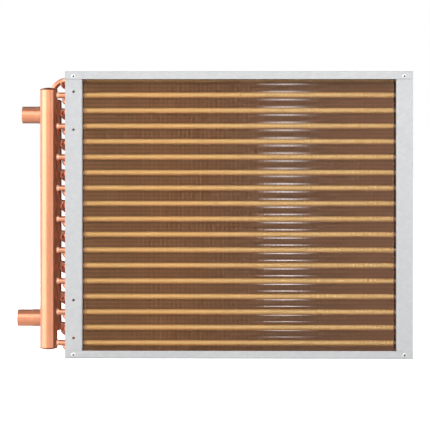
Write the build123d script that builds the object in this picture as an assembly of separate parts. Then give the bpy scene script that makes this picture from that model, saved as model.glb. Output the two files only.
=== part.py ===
from build123d import *
import os
from math import asin, atan2, degrees, hypot

# Hot water coil for an air duct: three rows of copper tube through aluminium fins, in a folded steel casing.
# All sizes are in millimetres. +X runs along the tubes, -Y is the front and +Z is up.
# The origin is the centre of the underside of the casing.

# Tubes and their layout
CIRCUITS = 9
TUBE_OD = 9.52
TUBE_WALL = 0.4
TUBE_PITCH = 25.4
ROW_PITCH = 22.0
HAIRPIN_STANDOFF = 7.3
BELL_STANDOFF = 1.0
BELL_TAPER = 1.0
BELL_LENGTH = 9.0
SOCKET_DEPTH = 8.0
BEND_STANDOFF = 9.3

# Fins
FIN_THICKNESS = 0.15
FIN_SPACING = 4.2333
FIN_PACK_LENGTH = 501.8

# Folded casing
SHEET = 1.2
BEND_RADIUS = 0.8
CHANNEL_FLANGE = 12.7
PLATE_FLANGE = 27.75
COIL_SETBACK = 11.45
FOOT_GAP = 3.1
HEAD_GAP = 5.7
END_GAP = 5.1
OUTER_HOLE_SPACING = 402.0
INNER_HOLE_SPACING = 278.0
FLANGE_HOLE = 4.2

# Blind rivets
RIVET_SHANK = 4.8
RIVET_HEAD = 8.0
RIVET_HEAD_HEIGHT = 1.2
RIVET_BULB = 6.2
RIVET_BULB_LENGTH = 4.5
RIVET_MANDREL = 3.2
RIVET_MANDREL_DEPTH = 1.4
RIVET_TOP_INSET = 8.2
RIVET_BOTTOM_INSET = 6.0

# Headers and their caps
HEADER_OD = 28.6
HEADER_WALL = 1.27
FRONT_HEADER_GAP = 3.7
REAR_HEADER_GAP = 2.2
FRONT_HEADER_HEAD = 12.65
FRONT_HEADER_TAIL = 11.15
REAR_HEADER_TAIL = 10.65
CAP_RIM = 1.0
CAP_CROWN = 3.0
CAP_SKIRT = 1.5
CAP_WALL = 1.2
PARTITION_THICKNESS = 1.5

# Feeders and ports
FEEDER_REACH = 2.0
TOP_FEEDER_RADIUS = 22.0
TOP_FEEDER_DROP = 8.25
TOP_FEEDER_REACH = 4.0
PORT_OD = HEADER_OD
PORT_WALL = HEADER_WALL
PORT_LAP = 1.03
PORT_END_LENGTH = 24.0
PORT_END_STEP = 0.25
PORT_END_TAPER = 1.5
UPPER_PORT_SETBACK = 26.9
LOWER_PORT_SETBACK = 22.1
UPPER_PORT_REACH = 50.4
LOWER_PORT_REACH = 58.1

# Clearances
FIN_CLEARANCE = 0.02
TUBE_CLEARANCE = 0.05
BELL_CLEARANCE = 0.05
RIVET_CLEARANCE = 0.05
BRAZE_GAP = 0.05

FRONT = -1
MIDDLE = 0
REAR = 1
ROW_NAMES = {FRONT: "front_row", MIDDLE: "middle_row", REAR: "rear_row"}

tubes_per_row = 2 * CIRCUITS
front_feeder_places = range(1, tubes_per_row, 2)
rear_feeder_places = range(2, tubes_per_row, 2)
coil_height = tubes_per_row * TUBE_PITCH
coil_depth = len(ROW_NAMES) * ROW_PITCH
coil_bottom = SHEET + FOOT_GAP
coil_top = coil_bottom + coil_height
casing_height = coil_top + HEAD_GAP + SHEET
casing_depth = coil_depth + 2 * COIL_SETBACK
plate_inside = FIN_PACK_LENGTH / 2 + END_GAP
plate_outside = plate_inside + SHEET
casing_half_width = plate_inside + PLATE_FLANGE
plate_depth = casing_depth - 2 * SHEET

tube_radius = TUBE_OD / 2
bell_radius = tube_radius + BELL_CLEARANCE
bell_mouth = plate_outside + BELL_STANDOFF + BELL_TAPER + BELL_LENGTH
socket_end = bell_mouth - SOCKET_DEPTH
hairpin_centre = plate_outside + HAIRPIN_STANDOFF
return_centre = bell_mouth + BEND_STANDOFF
return_pitch = hypot(ROW_PITCH, TUBE_PITCH / 2)
return_tilt = degrees(atan2(ROW_PITCH, TUBE_PITCH / 2))
return_edge = return_centre + return_pitch / 2 + tube_radius

header_radius = HEADER_OD / 2
header_bore = header_radius - HEADER_WALL
port_radius = PORT_OD / 2
port_hole = port_radius - PORT_WALL - PORT_LAP
port_end_radius = port_radius - PORT_END_STEP
front_header_x = return_edge + FRONT_HEADER_GAP + header_radius
rear_header_x = return_edge + REAR_HEADER_GAP + header_radius


def row_y(row):
    return row * ROW_PITCH


def tube_z(row, place):
    """Height of a tube: place 0 is the highest of its row, and the middle row lies half a pitch lower."""
    pitches_down = 0.75 if row == MIDDLE else 0.25
    return coil_top - (pitches_down + place) * TUBE_PITCH


front_header_top = tube_z(FRONT, front_feeder_places[0]) + FRONT_HEADER_HEAD
front_header_bottom = tube_z(FRONT, front_feeder_places[-1]) - FRONT_HEADER_TAIL
rear_header_top = tube_z(REAR, 0) - TOP_FEEDER_RADIUS - TOP_FEEDER_DROP
rear_header_bottom = tube_z(REAR, rear_feeder_places[-1]) - REAR_HEADER_TAIL
upper_port_z = rear_header_top - UPPER_PORT_SETBACK
lower_port_z = rear_header_bottom + LOWER_PORT_SETBACK


def ring(outer_radius, wall):
    return Circle(outer_radius) - Circle(outer_radius - wall)


def pipe_along_x(start, end, outer_radius, wall, y, z):
    plane = Plane(origin=(start, y, z), z_dir=(1, 0, 0))
    return extrude(plane * ring(outer_radius, wall), amount=end - start)


def drill_x(radius, start, end, y, z):
    plane = Plane(origin=(start, y, z), z_dir=(1, 0, 0))
    return extrude(plane * Circle(radius), amount=end - start)


def drill_y(radius, start, end, x, z):
    plane = Plane(origin=(x, start, z), z_dir=(0, 1, 0))
    return extrude(plane * Circle(radius), amount=end - start)


def crown(radius, rise, apex):
    """A shallow dome's line in the XZ plane, from its apex on the axis out to the radius."""
    sphere = (radius**2 + rise**2) / (2 * rise)
    return JernArc((0, apex), (1, 0), sphere, -degrees(asin(radius / sphere)))


# Folded casing
def folded_section(width, flange):
    """A sheet folded to a U: its web lies on the local X axis and both flanges stand up along local Y."""
    section = Rectangle(width, flange, align=(Align.CENTER, Align.MIN))
    section -= Pos(0, SHEET) * Rectangle(width - 2 * SHEET, flange, align=(Align.CENTER, Align.MIN))
    inner_corners = section.vertices().group_by(Axis.Y)[1]
    section = fillet(inner_corners, BEND_RADIUS)
    outer_corners = section.vertices().group_by(Axis.Y)[0]
    return fillet(outer_corners, BEND_RADIUS + SHEET)


def rivet_places():
    """Where the rivets join a flange of each channel to a flange of each end plate."""
    x = casing_half_width - PLATE_FLANGE / 2
    top = casing_height - RIVET_TOP_INSET
    return [(side * x, z) for side in (-1, 1) for z in (top, RIVET_BOTTOM_INSET)]


def rivet_holes():
    radius = RIVET_SHANK / 2 + RIVET_CLEARANCE
    reach = casing_depth
    return [drill_y(radius, -reach, reach, x, z) for x, z in rivet_places()]


def channel(at_top):
    """The top or bottom channel, over the full width of the casing."""
    section = folded_section(casing_depth, CHANNEL_FLANGE)
    plane = Plane(origin=(-casing_half_width, 0, 0), x_dir=(0, 1, 0), z_dir=(1, 0, 0))
    body = extrude(plane * section, amount=2 * casing_half_width)
    if at_top:
        body = Pos(0, 0, casing_height) * Rot(180, 0, 0) * body
    return body - rivet_holes()


def end_plate(side):
    """A tube sheet between the channels, flanges turned outward; side is -1 on the left and 1 on the right."""
    foot = SHEET + BEND_RADIUS
    height = casing_height - 2 * foot
    section = folded_section(plate_depth, PLATE_FLANGE)
    plane = Plane(origin=(0, 0, 0), x_dir=(0, -side, 0), z_dir=(0, 0, 1))
    body = Pos(side * plate_inside, 0, foot) * extrude(plane * section, amount=height)
    start = side * plate_inside - 2 * SHEET
    end = side * plate_inside + 2 * SHEET
    hole = tube_radius + TUBE_CLEARANCE
    tube_holes = []
    for row in ROW_NAMES:
        for place in range(tubes_per_row):
            tube_holes.append(drill_x(hole, start, end, row_y(row), tube_z(row, place)))
    return body - tube_holes - rivet_holes()


def fixing_holes():
    """Holes in the left end plate's flanges, in pairs about half the casing's height."""
    x = -(casing_half_width - PLATE_FLANGE / 2)
    holes = []
    for spacing in (OUTER_HOLE_SPACING, INNER_HOLE_SPACING):
        for way in (-1, 1):
            z = casing_height / 2 + way * spacing / 2
            holes.append(drill_y(FLANGE_HOLE / 2, -casing_depth, casing_depth, x, z))
    return holes


def rivet():
    """A set blind rivet along local Z: its head seats at 0 and has a mandrel hole, its blind end is below."""
    grip = -2 * SHEET
    tail = grip - RIVET_BULB_LENGTH
    bevel = RIVET_BULB / 4
    dome = crown(RIVET_HEAD / 2, RIVET_HEAD_HEIGHT, RIVET_HEAD_HEIGHT)
    shank = Polyline(
        dome @ 1,
        (RIVET_SHANK / 2, 0),
        (RIVET_SHANK / 2, grip),
        (RIVET_BULB / 2, grip),
        (RIVET_BULB / 2, tail + bevel),
        (RIVET_BULB / 2 - bevel, tail),
        (0, tail),
        dome @ 0,
    )
    body = revolve(Plane.XZ * make_face(Curve() + [dome, shank]), Axis.Z)
    floor = Plane(origin=(0, 0, RIVET_HEAD_HEIGHT - RIVET_MANDREL_DEPTH))
    return body - extrude(floor * Circle(RIVET_MANDREL / 2), amount=RIVET_HEAD_HEIGHT + RIVET_MANDREL_DEPTH)


def corner_rivets():
    """Eight rivets: one in each corner of the casing, front and back."""
    one = rivet()
    rivets = []
    for x, z in rivet_places():
        rivets.append(Pos(x, -casing_depth / 2, z) * Rot(90, 0, 0) * one)
        rivets.append(Pos(x, casing_depth / 2, z) * Rot(-90, 0, 0) * one)
    return Compound(children=rivets)


# Fins
def fin():
    """One fin plate across X, with a slot for each row of tubes."""
    half_slot = tube_radius + FIN_CLEARANCE
    middle_z = (coil_top + coil_bottom) / 2
    outline = Rectangle(coil_depth, coil_height)
    for row in ROW_NAMES:
        top = tube_z(row, 0) + half_slot
        bottom = tube_z(row, tubes_per_row - 1) - half_slot
        slot = Rectangle(2 * half_slot, top - bottom)
        outline -= Pos(row_y(row), (top + bottom) / 2 - middle_z) * slot
    plane = Plane(origin=(0, 0, middle_z), x_dir=(0, 1, 0), z_dir=(1, 0, 0))
    return extrude(plane * outline, amount=FIN_THICKNESS / 2, both=True)


def fin_pack():
    spaces = int(FIN_PACK_LENGTH / FIN_SPACING)
    first = -spaces * FIN_SPACING / 2
    one = fin()
    return Compound(children=[Pos(first + i * FIN_SPACING, 0, 0) * one for i in range(spaces + 1)])


# Tubes
def u_bend(spacing, leg):
    """A hollow U in the local XZ plane: half a ring centred on the origin and two legs towards -X."""
    section = Plane(origin=(0, 0, spacing / 2), z_dir=(1, 0, 0)) * ring(tube_radius, TUBE_WALL)
    bend = revolve(section, Axis.Y, revolution_arc=180)
    upper = pipe_along_x(-leg, 0, tube_radius, TUBE_WALL, 0, spacing / 2)
    lower = pipe_along_x(-leg, 0, tube_radius, TUBE_WALL, 0, -spacing / 2)
    return bend + upper + lower


def bell():
    """The widened mouth of a tube, along local X: it meets the tube at 0 and opens towards -X."""
    taper = -BELL_TAPER
    mouth = taper - BELL_LENGTH
    profile = Polyline(
        (0, tube_radius - TUBE_WALL),
        (taper, bell_radius),
        (mouth, bell_radius),
        (mouth, bell_radius + TUBE_WALL),
        (taper, bell_radius + TUBE_WALL),
        (0, tube_radius),
        close=True,
    )
    return revolve(Plane.XZ * make_face(profile), Axis.X)


def hairpin():
    """One hairpin tube, its bend's centre on the origin and its two belled mouths towards -X."""
    leg = hairpin_centre + plate_outside + BELL_STANDOFF
    body = u_bend(TUBE_PITCH, leg)
    for height in (-TUBE_PITCH / 2, TUBE_PITCH / 2):
        body += Pos(-leg, 0, height) * bell()
    return body


def hairpins():
    """Every row has one hairpin to a circuit, named from the top down."""
    one = hairpin()
    nodes = {}
    for row, name in ROW_NAMES.items():
        for circuit in range(CIRCUITS):
            middle_z = tube_z(row, 2 * circuit) - TUBE_PITCH / 2
            nodes[f"{name}_hairpin_{circuit + 1}"] = Pos(hairpin_centre, row_y(row), middle_z) * one
    return nodes


def return_bends(row):
    """The bends that take each circuit from the middle row to the front or the rear row."""
    one = Rot(0, 0, 180) * u_bend(return_pitch, return_centre - socket_end)
    tilted = Rot(-row * return_tilt, 0, 0) * one
    first = 0 if row == FRONT else 1
    bends = []
    for circuit in range(CIRCUITS):
        place = 2 * circuit + first
        z = (tube_z(row, place) + tube_z(MIDDLE, place)) / 2
        bends.append(Pos(-return_centre, row_y(row) / 2, z) * tilted)
    return Compound(children=bends)


def feeders(row, header_x, places):
    """Straight tubes from the belled mouths into a header."""
    inner_end = -(header_x - header_bore) - FEEDER_REACH
    tubes = []
    for place in places:
        z = tube_z(row, place)
        tubes.append(pipe_along_x(inner_end, -socket_end, tube_radius, TUBE_WALL, row_y(row), z))
    return Compound(children=tubes)


def rear_top_feeder():
    """The highest rear tube turns down through the top cap of the rear header."""
    y = row_y(REAR)
    z = tube_z(REAR, 0)
    turn_x = -rear_header_x + TOP_FEEDER_RADIUS
    turn_z = z - TOP_FEEDER_RADIUS
    level = pipe_along_x(turn_x, -socket_end, tube_radius, TUBE_WALL, y, z)
    section = Plane(origin=(turn_x, y, z), z_dir=(1, 0, 0)) * ring(tube_radius, TUBE_WALL)
    turn = revolve(section, Axis((turn_x, y, turn_z), (0, -1, 0)), revolution_arc=90)
    drop = turn_z - rear_header_top + TOP_FEEDER_REACH
    down = extrude(Plane(origin=(-rear_header_x, y, turn_z)) * ring(tube_radius, TUBE_WALL), amount=-drop)
    return level + turn + down


# Headers
def header(row, header_x, bottom, top, places):
    """A drilled header tube between its caps, with a hole for each feeder."""
    tube_bottom = bottom + CAP_RIM + CAP_CROWN
    tube_top = top - CAP_RIM - CAP_CROWN
    y = row_y(row)
    base = Plane(origin=(-header_x, y, tube_bottom))
    body = extrude(base * ring(header_radius, HEADER_WALL), amount=tube_top - tube_bottom)
    hole = tube_radius + TUBE_CLEARANCE
    return body - [drill_x(hole, -header_x, -header_x + HEADER_OD, y, tube_z(row, place)) for place in places]


def rear_header():
    body = header(REAR, rear_header_x, rear_header_bottom, rear_header_top, rear_feeder_places)
    start = -rear_header_x - HEADER_OD
    y = row_y(REAR)
    return body - [drill_x(port_hole, start, -rear_header_x, y, z) for z in (upper_port_z, lower_port_z)]


def cap():
    """A pressed cap along local Z: its rim stands on the header's end at 0 and its skirt goes down inside."""
    skirt_radius = header_bore - BRAZE_GAP
    inner_radius = skirt_radius - CAP_WALL
    apex = CAP_RIM + CAP_CROWN
    outside = crown(header_radius, CAP_CROWN, apex)
    inside = crown(inner_radius, CAP_CROWN, apex - CAP_WALL)
    edge = Polyline(
        outside @ 1,
        (header_radius, 0),
        (skirt_radius, 0),
        (skirt_radius, -CAP_SKIRT),
        (inner_radius, -CAP_SKIRT),
        inside @ 1,
    )
    axis_line = Line((0, apex - CAP_WALL), (0, apex))
    return revolve(Plane.XZ * make_face(Curve() + [outside, edge, inside, axis_line]), Axis.Z)


def top_cap(row, header_x, top):
    return Pos(-header_x, row_y(row), top - CAP_RIM - CAP_CROWN) * cap()


def bottom_cap(row, header_x, bottom):
    return Pos(-header_x, row_y(row), bottom + CAP_RIM + CAP_CROWN) * Rot(180, 0, 0) * cap()


def rear_top_cap():
    """The rear header's top cap has a hole for the turned down feeder."""
    hole = Circle(tube_radius + TUBE_CLEARANCE)
    plane = Plane(origin=(-rear_header_x, row_y(REAR), rear_header_top - HEADER_OD))
    return top_cap(REAR, rear_header_x, rear_header_top) - extrude(plane * hole, amount=2 * HEADER_OD)


def header_partition():
    """A disc across the rear header, half way between the feeders of the two passes."""
    passes_meet = rear_feeder_places[len(rear_feeder_places) // 2]
    z = tube_z(REAR, passes_meet) + TUBE_PITCH
    plane = Plane(origin=(-rear_header_x, row_y(REAR), z))
    return extrude(plane * Circle(header_bore - BRAZE_GAP), amount=PARTITION_THICKNESS / 2, both=True)


def port(z, reach):
    """A stub pipe: its free end is sized down for a fitting, its inner end is cut to saddle the rear header."""
    y = row_y(REAR)
    taper_end = PORT_END_LENGTH + PORT_END_TAPER
    profile = Polyline(
        (0, port_end_radius),
        (PORT_END_LENGTH, port_end_radius),
        (taper_end, port_radius),
        (reach, port_radius),
        (reach, port_radius - PORT_WALL),
        (taper_end, port_radius - PORT_WALL),
        (PORT_END_LENGTH, port_end_radius - PORT_WALL),
        (0, port_end_radius - PORT_WALL),
        close=True,
    )
    pipe = Pos(-rear_header_x - reach, y, z) * revolve(Plane.XZ * make_face(profile), Axis.X)
    plane = Plane(origin=(-rear_header_x, y, z - PORT_OD))
    return pipe - extrude(plane * Circle(header_radius + BRAZE_GAP), amount=2 * PORT_OD)


nodes = {
    "top_channel": channel(at_top=True),
    "bottom_channel": channel(at_top=False),
    "left_end_plate": end_plate(-1) - fixing_holes(),
    "right_end_plate": end_plate(1),
    "corner_rivets": corner_rivets(),
    "fin_pack": fin_pack(),
    "front_return_bends": return_bends(FRONT),
    "rear_return_bends": return_bends(REAR),
    "front_feeders": feeders(FRONT, front_header_x, front_feeder_places),
    "rear_feeders": feeders(REAR, rear_header_x, rear_feeder_places),
    "rear_top_feeder": rear_top_feeder(),
    "front_header": header(FRONT, front_header_x, front_header_bottom, front_header_top, front_feeder_places),
    "rear_header": rear_header(),
    "front_header_top_cap": top_cap(FRONT, front_header_x, front_header_top),
    "front_header_bottom_cap": bottom_cap(FRONT, front_header_x, front_header_bottom),
    "rear_header_top_cap": rear_top_cap(),
    "rear_header_bottom_cap": bottom_cap(REAR, rear_header_x, rear_header_bottom),
    "header_partition": header_partition(),
    "upper_port": port(upper_port_z, UPPER_PORT_REACH),
    "lower_port": port(lower_port_z, LOWER_PORT_REACH),
}
nodes.update(hairpins())

os.makedirs("parts", exist_ok=True)
for name, shape in nodes.items():
    export_step(shape, f"parts/{name}.step")
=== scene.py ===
import math

import bpy
import numpy as np
from mathutils import Matrix, Vector

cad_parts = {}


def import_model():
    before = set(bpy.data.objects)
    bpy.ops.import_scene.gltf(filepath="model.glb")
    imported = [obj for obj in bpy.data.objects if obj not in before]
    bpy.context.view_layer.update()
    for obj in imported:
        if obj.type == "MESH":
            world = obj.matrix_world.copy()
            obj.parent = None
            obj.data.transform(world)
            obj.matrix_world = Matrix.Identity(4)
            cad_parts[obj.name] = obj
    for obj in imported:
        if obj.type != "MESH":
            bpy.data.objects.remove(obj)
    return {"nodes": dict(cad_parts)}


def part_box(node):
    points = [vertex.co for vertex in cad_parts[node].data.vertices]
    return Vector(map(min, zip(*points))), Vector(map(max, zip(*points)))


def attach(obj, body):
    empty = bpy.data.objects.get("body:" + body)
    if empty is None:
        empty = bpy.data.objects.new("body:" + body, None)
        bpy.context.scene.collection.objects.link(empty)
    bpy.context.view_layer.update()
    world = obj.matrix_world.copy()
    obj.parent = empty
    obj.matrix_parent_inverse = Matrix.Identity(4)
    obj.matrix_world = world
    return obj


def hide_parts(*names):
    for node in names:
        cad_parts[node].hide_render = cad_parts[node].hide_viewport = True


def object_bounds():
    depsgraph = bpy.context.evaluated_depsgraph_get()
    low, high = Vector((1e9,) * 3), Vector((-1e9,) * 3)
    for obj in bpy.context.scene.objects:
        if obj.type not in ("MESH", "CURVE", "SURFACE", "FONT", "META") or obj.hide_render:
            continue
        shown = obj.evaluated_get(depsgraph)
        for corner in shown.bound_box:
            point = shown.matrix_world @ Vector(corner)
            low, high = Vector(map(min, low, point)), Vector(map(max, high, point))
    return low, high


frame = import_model()
cad_low, cad_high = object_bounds()

# Sizes in metres, read from the frame or given as the real thing's sizes
MM = 0.001
TUBE_RADIUS = 4.76 * MM
TUBE_PITCH = 25.4 * MM
ROW_PITCH = 22.0 * MM
TUBES_PER_ROW = 18
SHEET = 1.2 * MM
HEADER_RADIUS = 14.3 * MM
LAST_FIN = 251.9 * MM
TUBE_SHEET = 254.9 * MM
# Lift of the painted highlight on the tubes above their middles.
PAINTED_HIGHLIGHT_LIFT = 1.1 * MM

fin_low, fin_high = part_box("fin_pack")
front_header_low, front_header_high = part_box("front_header")
rear_header_low, rear_header_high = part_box("rear_header")
casing_low, casing_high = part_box("bottom_channel")
plate_low, plate_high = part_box("left_end_plate")
coil_top = fin_high.z
front_header_x = (front_header_low.x + front_header_high.x) / 2
rear_header_x = (rear_header_low.x + rear_header_high.x) / 2


def tube_z(row, place):
    """Height of a tube; row is -1 for the front, 0 for the middle and 1 for the rear, place 0 is the highest."""
    pitches_down = 0.75 if row == 0 else 0.25
    return coil_top - (pitches_down + place) * TUBE_PITCH


# Material building
class Nodes:
    """A small helper that adds nodes to one material or world and links them."""

    def __init__(self, tree):
        self.tree = tree
        self.tree.nodes.clear()

    def add(self, kind, inputs=None, **settings):
        node = self.tree.nodes.new(kind)
        for name, value in settings.items():
            setattr(node, name, value)
        for name, value in (inputs or {}).items():
            self.put(node.inputs[name], value)
        return node

    def put(self, socket, value):
        if isinstance(value, bpy.types.NodeSocket):
            self.tree.links.new(value, socket)
        else:
            socket.default_value = value

    def position(self, scale=(1.0, 1.0, 1.0)):
        """Object coordinates, stretched by a scale along each axis."""
        coords = self.add("ShaderNodeTexCoord")
        mapping = self.add("ShaderNodeMapping", {"Vector": coords.outputs["Object"], "Scale": scale})
        return mapping.outputs["Vector"]

    def noise(self, scale, detail=3.0, roughness=0.5, stretch=(1.0, 1.0, 1.0)):
        settings = {"Vector": self.position(stretch), "Scale": scale, "Detail": detail, "Roughness": roughness}
        return self.add("ShaderNodeTexNoise", settings).outputs["Fac"]

    def ramp(self, factor, *stops):
        """A colour ramp whose stops are (place, colour)."""
        node = self.add("ShaderNodeValToRGB", {"Fac": factor})
        elements = node.color_ramp.elements
        while len(elements) < len(stops):
            elements.new(0.5)
        for element, (place, colour) in zip(elements, stops):
            element.position = place
            element.color = colour if len(colour) == 4 else (*colour, 1.0)
        return node.outputs["Color"]

    def span(self, factor, low, high, to_low, to_high):
        """Maps a value from one range to another, held inside the second."""
        inputs = {"Value": factor, "From Min": low, "From Max": high, "To Min": to_low, "To Max": to_high}
        return self.add("ShaderNodeMapRange", inputs).outputs["Result"]

    def mix(self, factor, first, second, blend="MIX"):
        node = self.add("ShaderNodeMix", data_type="RGBA", blend_type=blend)
        self.put(node.inputs["Factor"], factor)
        self.put(node.inputs["A"], first if isinstance(first, bpy.types.NodeSocket) else (*first, 1.0))
        self.put(node.inputs["B"], second if isinstance(second, bpy.types.NodeSocket) else (*second, 1.0))
        return next(out for out in node.outputs if out.enabled)

    def math(self, operation, first, second=0.0):
        node = self.add("ShaderNodeMath", operation=operation)
        self.put(node.inputs[0], first)
        self.put(node.inputs[1], second)
        return node.outputs["Value"]

    def bump(self, height, strength, distance):
        inputs = {"Height": height, "Strength": strength, "Distance": distance}
        return self.add("ShaderNodeBump", inputs).outputs["Normal"]

    def principled(self, **inputs):
        names = {name.replace("_", " "): value for name, value in inputs.items()}
        shader = self.add("ShaderNodeBsdfPrincipled", names)
        self.add("ShaderNodeOutputMaterial", {"Surface": shader.outputs["BSDF"]})
        return shader


def new_material(name):
    material = bpy.data.materials.new(name)
    material.use_nodes = True
    return material, Nodes(material.node_tree)


def along(axis, stretch):
    """A stretch that lengthens a pattern along one axis."""
    return tuple(1.0 / stretch if i == axis else 1.0 for i in range(3))


def galvanised_steel():
    """Zinc coated sheet: a fine crystal spangle, faint rolling streaks and a slightly mottled sheen."""
    material, n = new_material("galvanised_steel")
    cells = n.add("ShaderNodeTexVoronoi", {"Vector": n.position(), "Scale": 190.0}, feature="F1")
    spangle = n.span(n.add("ShaderNodeSeparateColor", {"Color": cells.outputs["Color"]}).outputs[0], 0, 1, 0, 1)
    cloud = n.noise(9.0, detail=4.0)
    streak = n.noise(60.0, detail=2.0, stretch=along(2, 12.0))
    grey = n.ramp(spangle, (0.0, (0.365, 0.37, 0.375)), (0.55, (0.378, 0.383, 0.388)), (1.0, (0.397, 0.402, 0.407)))
    shade = n.mix(n.span(cloud, 0.35, 0.7, 0.0, 1.0), (0.975, 0.978, 0.985), (1.0, 1.0, 1.0))
    colour = n.mix(1.0, grey, shade, "MULTIPLY")
    rough = n.math("ADD", n.span(spangle, 0, 1, 0.50, 0.56), n.span(streak, 0.3, 0.7, -0.03, 0.03))
    height = n.math("ADD", n.math("MULTIPLY", spangle, 0.6), n.math("MULTIPLY", streak, 0.4))
    normal = n.bump(height, 0.10, 0.0004)
    n.principled(Base_Color=colour, Metallic=0.35, Roughness=rough, Normal=normal)
    return material


def copper(name, axis, tarnish, in_fins=False):
    """Drawn copper tube: fine draw lines along one axis, cloudy handling marks and darker oxide by tarnish.

    With in_fins, the stretch inside the fin pack has the look of the fins' own golden collars, with painted light on
    it: a painted highlight at each tube's height, painted shade above and below it, painted shade towards the left and
    painted shade next to the tube sheets.
    """
    material, n = new_material(name)
    draw = n.noise(420.0, detail=2.0, stretch=along(axis, 60.0))
    cloud = n.noise(38.0, detail=4.0, roughness=0.6)
    patch = n.noise(16.0, detail=5.0, roughness=0.65)
    clean = n.ramp(cloud, (0.25, (0.82, 0.235, 0.065)), (0.55, (0.84, 0.26, 0.075)), (0.8, (0.86, 0.285, 0.09)))
    oxide = n.span(patch, 0.62 - 0.3 * tarnish, 0.86 - 0.2 * tarnish, 0.0, 0.25 + 0.6 * tarnish)
    colour = n.mix(oxide, clean, (0.42, 0.125, 0.055))
    lines = n.mix(n.span(draw, 0.3, 0.7, 0.0, 0.16), colour, (0.62, 0.18, 0.08))
    rough = n.math("ADD", n.span(draw, 0.3, 0.7, 0.31, 0.37), n.math("MULTIPLY", oxide, 0.22))
    height = n.math("ADD", n.math("MULTIPLY", draw, 0.7), n.math("MULTIPLY", cloud, 0.3))
    normal = n.bump(height, 0.12, 0.0002)
    metal = 1.0
    coat = 1.0
    if in_fins:
        parts = n.add("ShaderNodeSeparateXYZ", {"Vector": n.position()})
        across = parts.outputs["X"]
        inside = n.math("LESS_THAN", n.math("ABSOLUTE", across), TUBE_SHEET)
        # Painted highlight: the collar colour is brightest a little above each tube's middle and darker above and below
        # it.
        below = n.math("SUBTRACT", parts.outputs["Z"], tube_z(-1, 0) + PAINTED_HIGHLIGHT_LIFT)
        level = n.math("ABSOLUTE", n.math("COSINE", n.math("MULTIPLY", below, 2 * math.pi / TUBE_PITCH)))
        collar_and_painted_light = n.ramp(level, (0.1, (0.47, 0.23, 0.08)), (0.5, (0.70, 0.41, 0.13)), (0.82, (0.87, 0.61, 0.19)),
                        (1.0, (0.954, 0.72, 0.276)))
        # Painted shade: the collar colour darkens towards the left.
        shade = n.ramp(n.span(across, -0.25, 0.17, 0.0, 1.0), (0.0, (0.765,) * 3), (1.0, (1.0,) * 3))
        collar_and_painted_light = n.mix(1.0, collar_and_painted_light, shade, "MULTIPLY")
        collar_and_painted_light = n.mix(n.span(cloud, 0.3, 0.7, 0.0, 0.25), collar_and_painted_light, (0.66, 0.46, 0.17))
        # Painted shade: the tubes turn dark in the shadowed gaps between the outermost fins and the tube sheets.
        collar_and_painted_light = n.mix(n.span(across, -TUBE_SHEET, -TUBE_SHEET + 6 * MM, 0.0, 1.0), (0.25, 0.11, 0.05), collar_and_painted_light)
        collar_and_painted_light = n.mix(n.span(across, LAST_FIN, LAST_FIN + MM, 0.0, 1.0), collar_and_painted_light, (0.12, 0.08, 0.05))
        lines = n.mix(inside, lines, collar_and_painted_light)
        coat = n.span(inside, 0.0, 1.0, 1.0, 0.3)
        rough = n.math("ADD", rough, n.math("MULTIPLY", inside, 0.2))
        metal = n.span(inside, 0.0, 1.0, 1.0, 0.15)
    n.principled(Base_Color=lines, Metallic=metal, Roughness=rough, Normal=normal, Coat_Weight=coat,
                 Coat_IOR=2.2, Coat_Roughness=0.24)
    return material


def fin_foil():
    """Thin rolled fin foil, faintly rippled across the air's way, coloured warm orange as painted reflection of the
    copper tubes, with painted shade to the right and in stripes along its ribs.
    """
    material, n = new_material("fin_foil")
    ripple = n.add("ShaderNodeTexWave", {"Vector": n.position(), "Scale": 90.0, "Distortion": 0.4},
                   wave_type="BANDS", bands_direction="Y").outputs["Fac"]
    dust = n.noise(30.0, detail=4.0)
    fine = n.noise(420.0, detail=1.0, stretch=along(2, 40.0))
    # Warm orange base: painted reflection of the copper tubes, varied at random.
    base = n.ramp(dust, (0.3, (0.962, 0.56, 0.287)), (0.55, (0.965, 0.565, 0.29)), (0.8, (0.968, 0.57, 0.296)))
    place = n.add("ShaderNodeSeparateXYZ", {"Vector": n.position()})
    # Painted shade: the fins turn darker and greyer towards the right.
    painted_right_shade = n.span(place.outputs["X"], -0.12, 0.10, 0.0, 1.0)
    base = n.mix(painted_right_shade, base, (0.66, 0.42, 0.28))
    colour = n.mix(n.span(fine, 0.38, 0.62, 0.06, 0.42), base, (0.60, 0.30, 0.16))
    rough = n.span(fine, 0.3, 0.7, 0.29, 0.33)
    # Painted shade: darker stripes, four to each tube pitch, along the fins' ribs.
    below = n.math("SUBTRACT", place.outputs["Z"], tube_z(-1, 0))
    wave = n.math("COSINE", n.math("MULTIPLY", below, 2 * math.pi * 4 / TUBE_PITCH))
    colour = n.mix(n.span(wave, -0.4, 1.0, 0.0, 0.42), colour, (0.36, 0.21, 0.13))
    normal = n.bump(ripple, 0.15, 0.0003)
    n.principled(Base_Color=colour, Metallic=0.0, Roughness=rough, Normal=normal, Specular_IOR_Level=0.25)
    return material


def rivet_metal():
    """Bright pressed aluminium, with turned rings and small dull marks."""
    material, n = new_material("rivet_metal")
    mark = n.noise(900.0, detail=3.0)
    grey = n.ramp(mark, (0.3, (0.66, 0.665, 0.67)), (0.7, (0.84, 0.84, 0.845)))
    n.principled(Base_Color=grey, Metallic=0.9, Roughness=n.span(mark, 0.3, 0.7, 0.24, 0.38),
                 Normal=n.bump(mark, 0.15, 0.0002))
    return material


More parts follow.
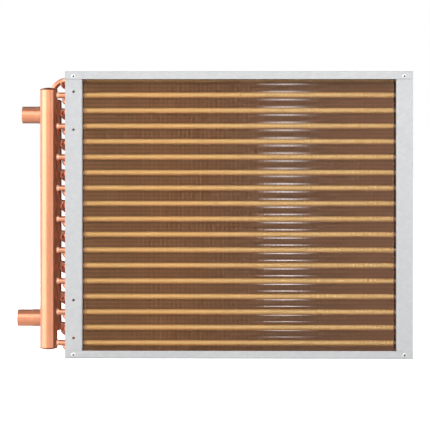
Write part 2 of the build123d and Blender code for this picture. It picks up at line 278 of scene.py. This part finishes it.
def mandrel_metal():
    """The broken end of a rivet's mandrel, down in its hole, coloured near black as painted shade of the hole."""
    material, n = new_material("mandrel_metal")
    mark = n.noise(1500.0, detail=3.0)
    # Near black: painted shade of the rivet hole.
    n.principled(Base_Color=n.ramp(mark, (0.3, (0.02, 0.02, 0.02)), (0.7, (0.06, 0.055, 0.05))), Metallic=0.6,
                 Roughness=n.span(mark, 0.3, 0.7, 0.5, 0.7), Normal=n.bump(mark, 0.3, 0.0003))
    return material


def braze_metal():
    """Brazing alloy: paler than the tube, rippled and a little scorched."""
    material, n = new_material("braze_metal")
    ripple = n.noise(700.0, detail=3.0)
    scorch = n.noise(120.0, detail=4.0)
    pale = n.ramp(ripple, (0.3, (0.78, 0.40, 0.25)), (0.7, (0.88, 0.53, 0.37)))
    colour = n.mix(n.span(scorch, 0.55, 0.8, 0.0, 0.6), pale, (0.36, 0.16, 0.09))
    n.principled(Base_Color=colour, Metallic=0.6, Roughness=n.span(scorch, 0.3, 0.7, 0.3, 0.5),
                 Normal=n.bump(ripple, 0.3, 0.0004))
    return material


def painted_shade_copper():
    """Copper coloured dark brown as painted shade of the upward-facing cap domes, with a few lighter patches at random.
    """
    material, n = new_material("painted_shade_copper")
    scale = n.noise(160.0, detail=5.0, roughness=0.6)
    grain = n.noise(900.0, detail=2.0)
    # Dark brown: painted shade, lighter in random patches.
    colour = n.ramp(scale, (0.30, (0.13, 0.035, 0.015)), (0.62, (0.30, 0.09, 0.04)), (0.80, (0.62, 0.24, 0.12)))
    n.principled(Base_Color=colour, Metallic=0.8, Roughness=n.span(scale, 0.3, 0.7, 0.55, 0.35),
                 Normal=n.bump(grain, 0.2, 0.0002))
    return material


# Mesh building
def new_piece(name, verts, faces, material, smooth=True):
    mesh = bpy.data.meshes.new(name)
    mesh.from_pydata([tuple(v) for v in verts], [], [tuple(f) for f in faces])
    mesh.materials.append(material)
    mesh.polygons.foreach_set("use_smooth", [smooth] * len(mesh.polygons))
    mesh.update()
    piece = bpy.data.objects.new(name, mesh)
    bpy.context.scene.collection.objects.link(piece)
    return piece


class Builder:
    """Gathers vertices and faces for one piece."""

    def __init__(self):
        self.verts = []
        self.faces = []
        self.marks = []

    def grid(self, rows, close_rows=False, mark=0):
        """Quads between rows of points; each row closes on itself, and close_rows joins the last row to the first."""
        base = len(self.verts)
        count = len(rows[0])
        for row in rows:
            self.verts.extend(row)
        last = len(rows) if close_rows else len(rows) - 1
        for i in range(last):
            for j in range(count):
                a = base + i * count + j
                b = base + i * count + (j + 1) % count
                c = base + ((i + 1) % len(rows)) * count + (j + 1) % count
                d = base + ((i + 1) % len(rows)) * count + j
                self.faces.append((a, b, c, d))
                self.marks.append(mark)

    def fan(self, row, centre, flip=False, mark=0):
        """A closing fan over one ring of points."""
        base = len(self.verts)
        self.verts.extend(row)
        self.verts.append(centre)
        for j in range(len(row)):
            a, b = base + j, base + (j + 1) % len(row)
            self.faces.append((b, a, base + len(row)) if flip else (a, b, base + len(row)))
            self.marks.append(mark)


def lathe(builder, profile, matrix, segments, marks=None):
    """Turns a profile of (radius, height) about local Z; a radius of 0 closes the end with a fan."""
    rings = []
    for radius, height in profile:
        ring = []
        for j in range(segments):
            turn = 2 * math.pi * j / segments
            ring.append(matrix @ Vector((radius * math.cos(turn), radius * math.sin(turn), height)))
        rings.append(ring)
    for i in range(len(profile) - 1):
        mark = marks[i] if marks else 0
        (r0, h0), (r1, h1) = profile[i], profile[i + 1]
        if r0 == 0:
            builder.fan(rings[i + 1], matrix @ Vector((0, 0, h0)), flip=True, mark=mark)
        elif r1 == 0:
            builder.fan(rings[i], matrix @ Vector((0, 0, h1)), mark=mark)
        else:
            builder.grid([rings[i], rings[i + 1]], mark=mark)


def finish_piece(builder, name, materials, weld=True):
    piece = new_piece(name, builder.verts, builder.faces, materials[0])
    for material in materials[1:]:
        piece.data.materials.append(material)
    piece.data.polygons.foreach_set("material_index", builder.marks)
    if weld:
        import bmesh
        mesh = bmesh.new()
        mesh.from_mesh(piece.data)
        bmesh.ops.remove_doubles(mesh, verts=mesh.verts, dist=1e-6)
        bmesh.ops.recalc_face_normals(mesh, faces=mesh.faces)
        mesh.to_mesh(piece.data)
        mesh.free()
    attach(piece, "root")
    return piece


# Fins
FIN_COUNT = 240
FIN_CREASE = 0.55 * MM
FIN_SPACING = 25.4 / 12 * MM
FIN_HALF_THICKNESS = 0.07 * MM
FIN_GROUPS = 4
HOLE_SIDES = 8
HOLE_RADIUS = (TUBE_RADIUS + 0.05 * MM) / math.cos(math.pi / HOLE_SIDES)


def fin_outline():
    """One fin in the YZ plane: its vertices, its faces and its border edges, with a round hole for every tube."""
    index = {}
    verts = []
    faces = []

    def vertex(y, z):
        key = (round(y, 7), round(z, 7))
        if key not in index:
            index[key] = len(verts)
            verts.append((y, z))
        return index[key]

    half_row = ROW_PITCH / 2
    half_pitch = TUBE_PITCH / 2
    for row in (-1, 0, 1):
        centre_y = row * ROW_PITCH
        reached = fin_high.z
        for place in range(TUBES_PER_ROW):
            z = tube_z(row, place)
            top = min(z + half_pitch, fin_high.z)
            bottom = max(z - half_pitch, fin_low.z)
            if reached - top > 1e-6:
                faces.append([vertex(centre_y + dy, dz) for dy, dz in
                              ((-half_row, top), (0, top), (half_row, top), (half_row, reached), (-half_row, reached))])
            reached = bottom
            ring = []
            rim = []
            for j in range(HOLE_SIDES):
                turn = 2 * math.pi * j / HOLE_SIDES
                ring.append(vertex(centre_y + HOLE_RADIUS * math.cos(turn), z + HOLE_RADIUS * math.sin(turn)))
                way_y = round(math.cos(turn) * 1.2)
                way_z = round(math.sin(turn) * 1.2)
                edge_z = z if way_z == 0 else (top if way_z > 0 else bottom)
                rim.append(vertex(centre_y + way_y * half_row, edge_z))
            for j in range(HOLE_SIDES):
                k = (j + 1) % HOLE_SIDES
                faces.append([ring[j], rim[j], rim[k], ring[k]])
        if reached - fin_low.z > 1e-6:
            faces.append([vertex(centre_y + dy, dz) for dy, dz in
                          ((-half_row, fin_low.z), (half_row, fin_low.z), (half_row, reached), (0, reached),
                           (-half_row, reached))])
    seen = {}
    for face in faces:
        for a, b in zip(face, face[1:] + face[:1]):
            seen[(a, b)] = seen.get((a, b), 0) + 1
    border = [(a, b) for a, b in seen if (b, a) not in seen]
    return np.array(verts), faces, border


def fin_group(name, first, last, material):
    """Fins first to last, each a thin solid sheet that leans and bows very slightly."""
    verts, faces, border = fin_outline()
    count = len(verts)
    random = np.random.RandomState(11)
    lean = random.normal(0.0, 0.04 * MM, (FIN_COUNT, 3))
    height = (verts[:, 1] - fin_low.z) / (fin_high.z - fin_low.z) * 2 - 1
    depth = verts[:, 0] / fin_high.y
    from_tube = np.abs((verts[:, 0] / ROW_PITCH + 0.5) % 1.0 - 0.5) * 2
    crease = FIN_CREASE * (from_tube * 2 - 1)
    all_verts = []
    all_faces = []
    for i in range(first, last):
        middle = LAST_FIN - (FIN_COUNT - 1 - i) * FIN_SPACING
        sway = middle + crease + lean[i, 0] + lean[i, 1] * height + lean[i, 2] * depth
        base = len(all_verts) * count * 2
        side_a = np.column_stack((sway - FIN_HALF_THICKNESS, verts))
        side_b = np.column_stack((sway + FIN_HALF_THICKNESS, verts))
        all_verts.append(np.vstack((side_a, side_b)))
        all_faces.extend([base + v for v in reversed(face)] for face in faces)
        all_faces.extend([base + count + v for v in face] for face in faces)
        all_faces.extend([base + a, base + b, base + count + b, base + count + a] for a, b in border)
    piece = new_piece(name, np.vstack(all_verts), all_faces, material, smooth=False)
    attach(piece, "root")
    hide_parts("fin_pack")
    return piece


def fins(material):
    for group in range(FIN_GROUPS):
        first = round(FIN_COUNT * group / FIN_GROUPS)
        last = round(FIN_COUNT * (group + 1) / FIN_GROUPS)
        fin_group(f"fins_{group + 1}", first, last, material)


# Rivets
def rivets(head_material, mandrel_material):
    """Eight set blind rivets with domed heads, mandrel stubs and blind ends."""
    head, shank, bore, bulb = (radius * MM for radius in (4.0, 2.4, 1.55, 3.1))
    rise = 1.05 * MM
    grip = 2 * SHEET
    tail = 4.5 * MM
    dome = []
    for step in range(8):
        radius = bore + (head - bore) * step / 7
        dome.append((radius, rise * math.sqrt(max(0.0, 1 - (radius / head) ** 2.6))))
    hole = [(0.0, -0.5 * MM), (0.5 * MM, -0.35 * MM), (0.95 * MM, -0.4 * MM), (1.15 * MM, -0.6 * MM), (bore, -0.7 * MM),
            (bore, 0.8 * MM)]
    blind = [(shank, 0.0), (shank, -grip), (bulb, -grip - 0.2 * MM), (bulb, -grip - tail * 0.6),
             (bulb * 0.7, -grip - tail), (0.0, -grip - tail)]
    profile = hole + dome + blind
    marks = [1] * 4 + [0] * (len(profile) - 5)
    builder = Builder()
    x = (plate_low.x + casing_low.x) / 2 + (plate_high.x - plate_low.x) / 2
    rivet_low, rivet_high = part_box("corner_rivets")
    for side_x in (-1, 1):
        rivet_x = side_x * abs(x)
        for z in (rivet_low.z + head, rivet_high.z - head):
            for side_y in (-1, 1):
                turn = Matrix.Rotation(math.pi / 2 * -side_y, 4, "X")
                place = Matrix.Translation((rivet_x, side_y * casing_high.y, z))
                lathe(builder, profile, place @ turn, 40, marks)
    piece = finish_piece(builder, "rivets", [head_material, mandrel_material])
    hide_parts("corner_rivets")


# Brazed joints
FILLET = 1.1 * MM
FILLET_REACH = 3.4 * MM


def saddle_fillets(name, row, header_x, places, material):
    """The brazing round each feeder where it enters its header, following the header's curve."""
    builder = Builder()
    random = np.random.RandomState(5 + row)
    segments = 28
    for place in places:
        centre_y, centre_z = row * ROW_PITCH, tube_z(row, place)
        swell = 1 + 0.18 * random.normal(size=3)
        rows = []
        for step in range(9):
            t = step / 8
            ring = []
            for j in range(segments):
                turn = 2 * math.pi * j / segments
                uneven = 1 + 0.12 * math.sin(turn + swell[0] * 6) + 0.1 * (swell[1] - 1)
                radius = TUBE_RADIUS + FILLET * uneven * (1 - t) ** 3 + 0.12 * MM * (t < 1) - 0.05 * MM * (t == 1)
                y = radius * math.cos(turn)
                wall = math.sqrt(HEADER_RADIUS**2 - y * y)
                lift = FILLET_REACH * uneven * t**1.5 - 0.05 * MM * (t == 0)
                ring.append((header_x + wall + lift, centre_y + y, centre_z + radius * math.sin(turn)))
            rows.append(ring)
        builder.grid(rows)
    piece = finish_piece(builder, name, [material])


def mouth_rings(name, material):
    """A thin ring of brazing where each bend or feeder enters a belled mouth at the left end."""
    builder = Builder()
    mouth_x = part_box("front_row_hairpin_1")[0].x
    bell = TUBE_RADIUS + 0.45 * MM
    profile = [(TUBE_RADIUS - 0.03 * MM, 1.1 * MM), (TUBE_RADIUS + 0.15 * MM, 0.55 * MM),
               (bell - 0.1 * MM, 0.3 * MM), (bell, 0.0)]
    for row in (-1, 0, 1):
        for place in range(TUBES_PER_ROW):
            turn = Matrix.Rotation(-math.pi / 2, 4, "Y")
            spot = Matrix.Translation((mouth_x, row * ROW_PITCH, tube_z(row, place)))
            lathe(builder, profile, spot @ turn, 24)
    piece = finish_piece(builder, name, [material])


def port_beads(name, material):
    """A bead along the saddle line where each port meets the rear header."""
    builder = Builder()
    bead = 0.9 * MM
    segments = 48
    for node in ("upper_port", "lower_port"):
        low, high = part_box(node)
        centre_y, centre_z = (low.y + high.y) / 2, (low.z + high.z) / 2
        radius = (high.z - low.z) / 2
        line = []
        for j in range(segments):
            turn = 2 * math.pi * j / segments
            y = radius * 0.998 * math.cos(turn)
            wall = math.sqrt((HEADER_RADIUS * 1.004) ** 2 - y * y)
            line.append(Vector((rear_header_x - wall, centre_y + y, centre_z + radius * math.sin(turn))))
        rows = []
        for j, point in enumerate(line):
            ahead = (line[(j + 1) % segments] - line[j - 1]).normalized()
            side = ahead.cross(Vector((1, 0, 0)))
            side.normalize()
            up = ahead.cross(side)
            ring = []
            for k in range(8):
                turn = 2 * math.pi * k / 8
                ring.append(point + (side * math.cos(turn) + up * math.sin(turn)) * bead)
            rows.append(ring)
        builder.grid(rows, close_rows=True)
    piece = finish_piece(builder, name, [material])


# Materials on the carried over nodes
def dress(node, material):
    mesh = frame["nodes"][node].data
    mesh.materials.clear()
    mesh.materials.append(material)


def dress_nodes():
    steel = galvanised_steel()
    header_copper = copper("header_copper", axis=2, tarnish=0.12)
    port_copper = copper("port_copper", axis=0, tarnish=0.15)
    tube_copper = copper("tube_copper", axis=0, tarnish=0.3, in_fins=True)
    bend_copper = copper("bend_copper", axis=0, tarnish=0.25)
    cap_painted_shade_copper = painted_shade_copper()
    for node in frame["nodes"]:
        if node.endswith("_channel") or node.endswith("_end_plate"):
            dress(node, steel)
        elif node.endswith("_cap") or node == "header_partition":
            dress(node, cap_painted_shade_copper)
        elif node.endswith("_header"):
            dress(node, header_copper)
        elif node.endswith("_port"):
            dress(node, port_copper)
        elif "hairpin" in node:
            dress(node, tube_copper)
        elif "return_bends" in node or "feeder" in node:
            dress(node, bend_copper)
    return steel


# Camera, floor and light
CAMERA_PLACE = Vector((75.0, -3044.0, 355.0)) * MM
CAMERA_LENS = 154.2
CAMERA_YAW = 0.71
CAMERA_SHIFT = (-0.1095, -0.1725)


def camera():
    data = bpy.data.cameras.new("camera")
    data.lens = CAMERA_LENS
    data.sensor_width = 36.0
    data.shift_x, data.shift_y = CAMERA_SHIFT
    data.clip_end = 50.0
    eye = bpy.data.objects.new("camera", data)
    eye.location = CAMERA_PLACE
    eye.rotation_euler = (math.radians(90), 0, math.radians(CAMERA_YAW))
    bpy.context.scene.collection.objects.link(eye)
    bpy.context.scene.camera = eye


def floor():
    """A wide pale floor; seen by the camera it is near white and still takes the object's soft shadow. To other rays it
    is dimmer, with painted sheen at grazing angles and painted shade behind the coil.
    """
    material, n = new_material("floor")
    seen = n.add("ShaderNodeLightPath").outputs["Is Camera Ray"]
    grain = n.noise(26.0, detail=4.0)
    paper = n.ramp(grain, (0.3, (0.88, 0.88, 0.88)), (0.7, (0.90, 0.90, 0.90)))
    sheen = n.add("ShaderNodeLayerWeight", {"Blend": 0.5}).outputs["Facing"]
    # Painted sheen: to all but the camera the floor grows lighter towards grazing angles.
    dim = n.ramp(sheen, (0.0, (0.46, 0.455, 0.45)), (0.45, (0.57, 0.565, 0.56)), (0.9, (0.68, 0.675, 0.67)))
    # Painted shade: to all but the camera the floor behind the coil is dark.
    depth = n.add("ShaderNodeSeparateXYZ", {"Vector": n.position()}).outputs["Y"]
    ahead = n.span(depth, 0.0, 0.4, 1.0, 0.2)
    dim = n.mix(ahead, (0.1, 0.1, 0.1), dim)
    matt = n.add("ShaderNodeBsdfDiffuse", {"Color": n.mix(seen, dim, paper)})
    strength = n.math("MULTIPLY", seen, 0.74)
    glow = n.add("ShaderNodeEmission", {"Color": (1, 1, 1, 1), "Strength": strength})
    gloss = n.add("ShaderNodeBsdfGlossy", {"Color": (1, 1, 1, 1), "Roughness": 0.12})
    skim = n.math("MULTIPLY", n.math("SUBTRACT", 1.0, seen), n.span(sheen, 0.7, 0.95, 0.0, 0.85))
    surface = n.add("ShaderNodeMixShader")
    n.put(surface.inputs[0], skim)
    n.put(surface.inputs[1], matt.outputs["BSDF"])
    n.put(surface.inputs[2], gloss.outputs["BSDF"])
    both = n.add("ShaderNodeAddShader")
    n.put(both.inputs[0], surface.outputs["Shader"])
    n.put(both.inputs[1], glow.outputs["Emission"])
    n.add("ShaderNodeOutputMaterial", {"Surface": both.outputs["Shader"]})
    reach = 14.0
    corners = [(-reach, -reach, 0), (reach, -reach, 0), (reach, reach, 0), (-reach, reach, 0)]
    plane = new_piece("floor", corners, [(0, 1, 2, 3)], material, smooth=False)
    plane.location.z = -0.0002


def area_light(name, azimuth, elevation, distance, size, power, colour=(1, 1, 1)):
    """A soft rectangular lamp that looks at the middle of the coil; azimuth 0 is in front, positive to the right."""
    data = bpy.data.lights.new(name, "AREA")
    data.shape = "RECTANGLE"
    data.size, data.size_y = size
    data.energy = power
    data.color = colour
    lamp = bpy.data.objects.new(name, data)
    a, e = math.radians(azimuth), math.radians(elevation)
    target = (cad_low + cad_high) / 2
    way = Vector((math.sin(a) * math.cos(e), -math.cos(a) * math.cos(e), math.sin(e)))
    lamp.location = target + way * distance
    lamp.rotation_euler = (-way).to_track_quat("-Z", "Y").to_euler()
    bpy.context.scene.collection.objects.link(lamp)
    return lamp


def world():
    """White to the camera; to everything else a soft room, lightest in front, dark overhead and at the right."""
    room = bpy.data.worlds.new("room")
    room.use_nodes = True
    bpy.context.scene.world = room
    n = Nodes(room.node_tree)
    coords = n.add("ShaderNodeTexCoord")
    parts = n.add("ShaderNodeSeparateXYZ", {"Vector": coords.outputs["Generated"]})
    toward = n.math("MULTIPLY", parts.outputs["Y"], -1.0)
    turn = n.math("ARCTAN2", parts.outputs["X"], toward)
    around = n.span(turn, -math.pi, math.pi, 0.0, 1.0)
    stops = []
    for degrees, level in ((-180, 0.15), (-160, 0.4), (-145, 1.2), (-120, 1.3), (-92, 1.0), (-60, 0.90), (-30, 0.70),
                           (0, 0.62), (30, 0.66), (50, 1.2), (75, 1.6), (100, 0.9), (125, 0.45), (150, 0.25),
                           (180, 0.15)):
        stops.append(((degrees + 180) / 360, (level, level, level)))
    ring = n.ramp(around, *stops)
    tilt = n.span(parts.outputs["Z"], -1.0, 1.0, 0.0, 1.0)
    stops = [(0.0, (0.25,) * 3), (0.22, (0.45,) * 3), (0.45, (1.0,) * 3), (0.66, (1.0,) * 3), (0.85, (0.95,) * 3),
             (0.96, (0.6,) * 3), (1.0, (0.5,) * 3)]
    level = n.mix(1.0, ring, n.ramp(tilt, *stops), "MULTIPLY")
    level = n.add("ShaderNodeRGBToBW", {"Color": level}).outputs["Val"]
    path = n.add("ShaderNodeLightPath")
    seen = path.outputs["Is Camera Ray"]
    strength = n.math("ADD", n.math("MULTIPLY", seen, 1.0),
                      n.math("MULTIPLY", n.math("SUBTRACT", 1.0, seen), level))
    back = n.add("ShaderNodeBackground", {"Color": (1, 1, 1, 1), "Strength": strength})
    n.add("ShaderNodeOutputWorld", {"Surface": back.outputs["Background"]})


def lights():
    world()
    area_light("left_softbox", -59, 4, 2.6, (3.0, 2.6), 47).visible_diffuse = False
    area_light("back_left", -125, 10, 2.4, (1.4, 1.6), 90).visible_glossy = False
    area_light("front_strip", -4, 28, 3.4, (2.2, 2.8), 26).visible_diffuse = False
    area_light("fin_fill", 13, 24, 4.5, (1.4, 2.6), 290).visible_glossy = False


dress_nodes()
fins(fin_foil())
rivets(rivet_metal(), mandrel_metal())
braze = braze_metal()
saddle_fillets("front_feeder_fillets", -1, front_header_x, range(1, TUBES_PER_ROW, 2), braze)
saddle_fillets("rear_feeder_fillets", 1, rear_header_x, range(2, TUBES_PER_ROW, 2), braze)
mouth_rings("mouth_rings", braze)
port_beads("port_beads", braze)

camera()
floor()
lights()
bpy.context.scene.view_settings.view_transform = "Standard"
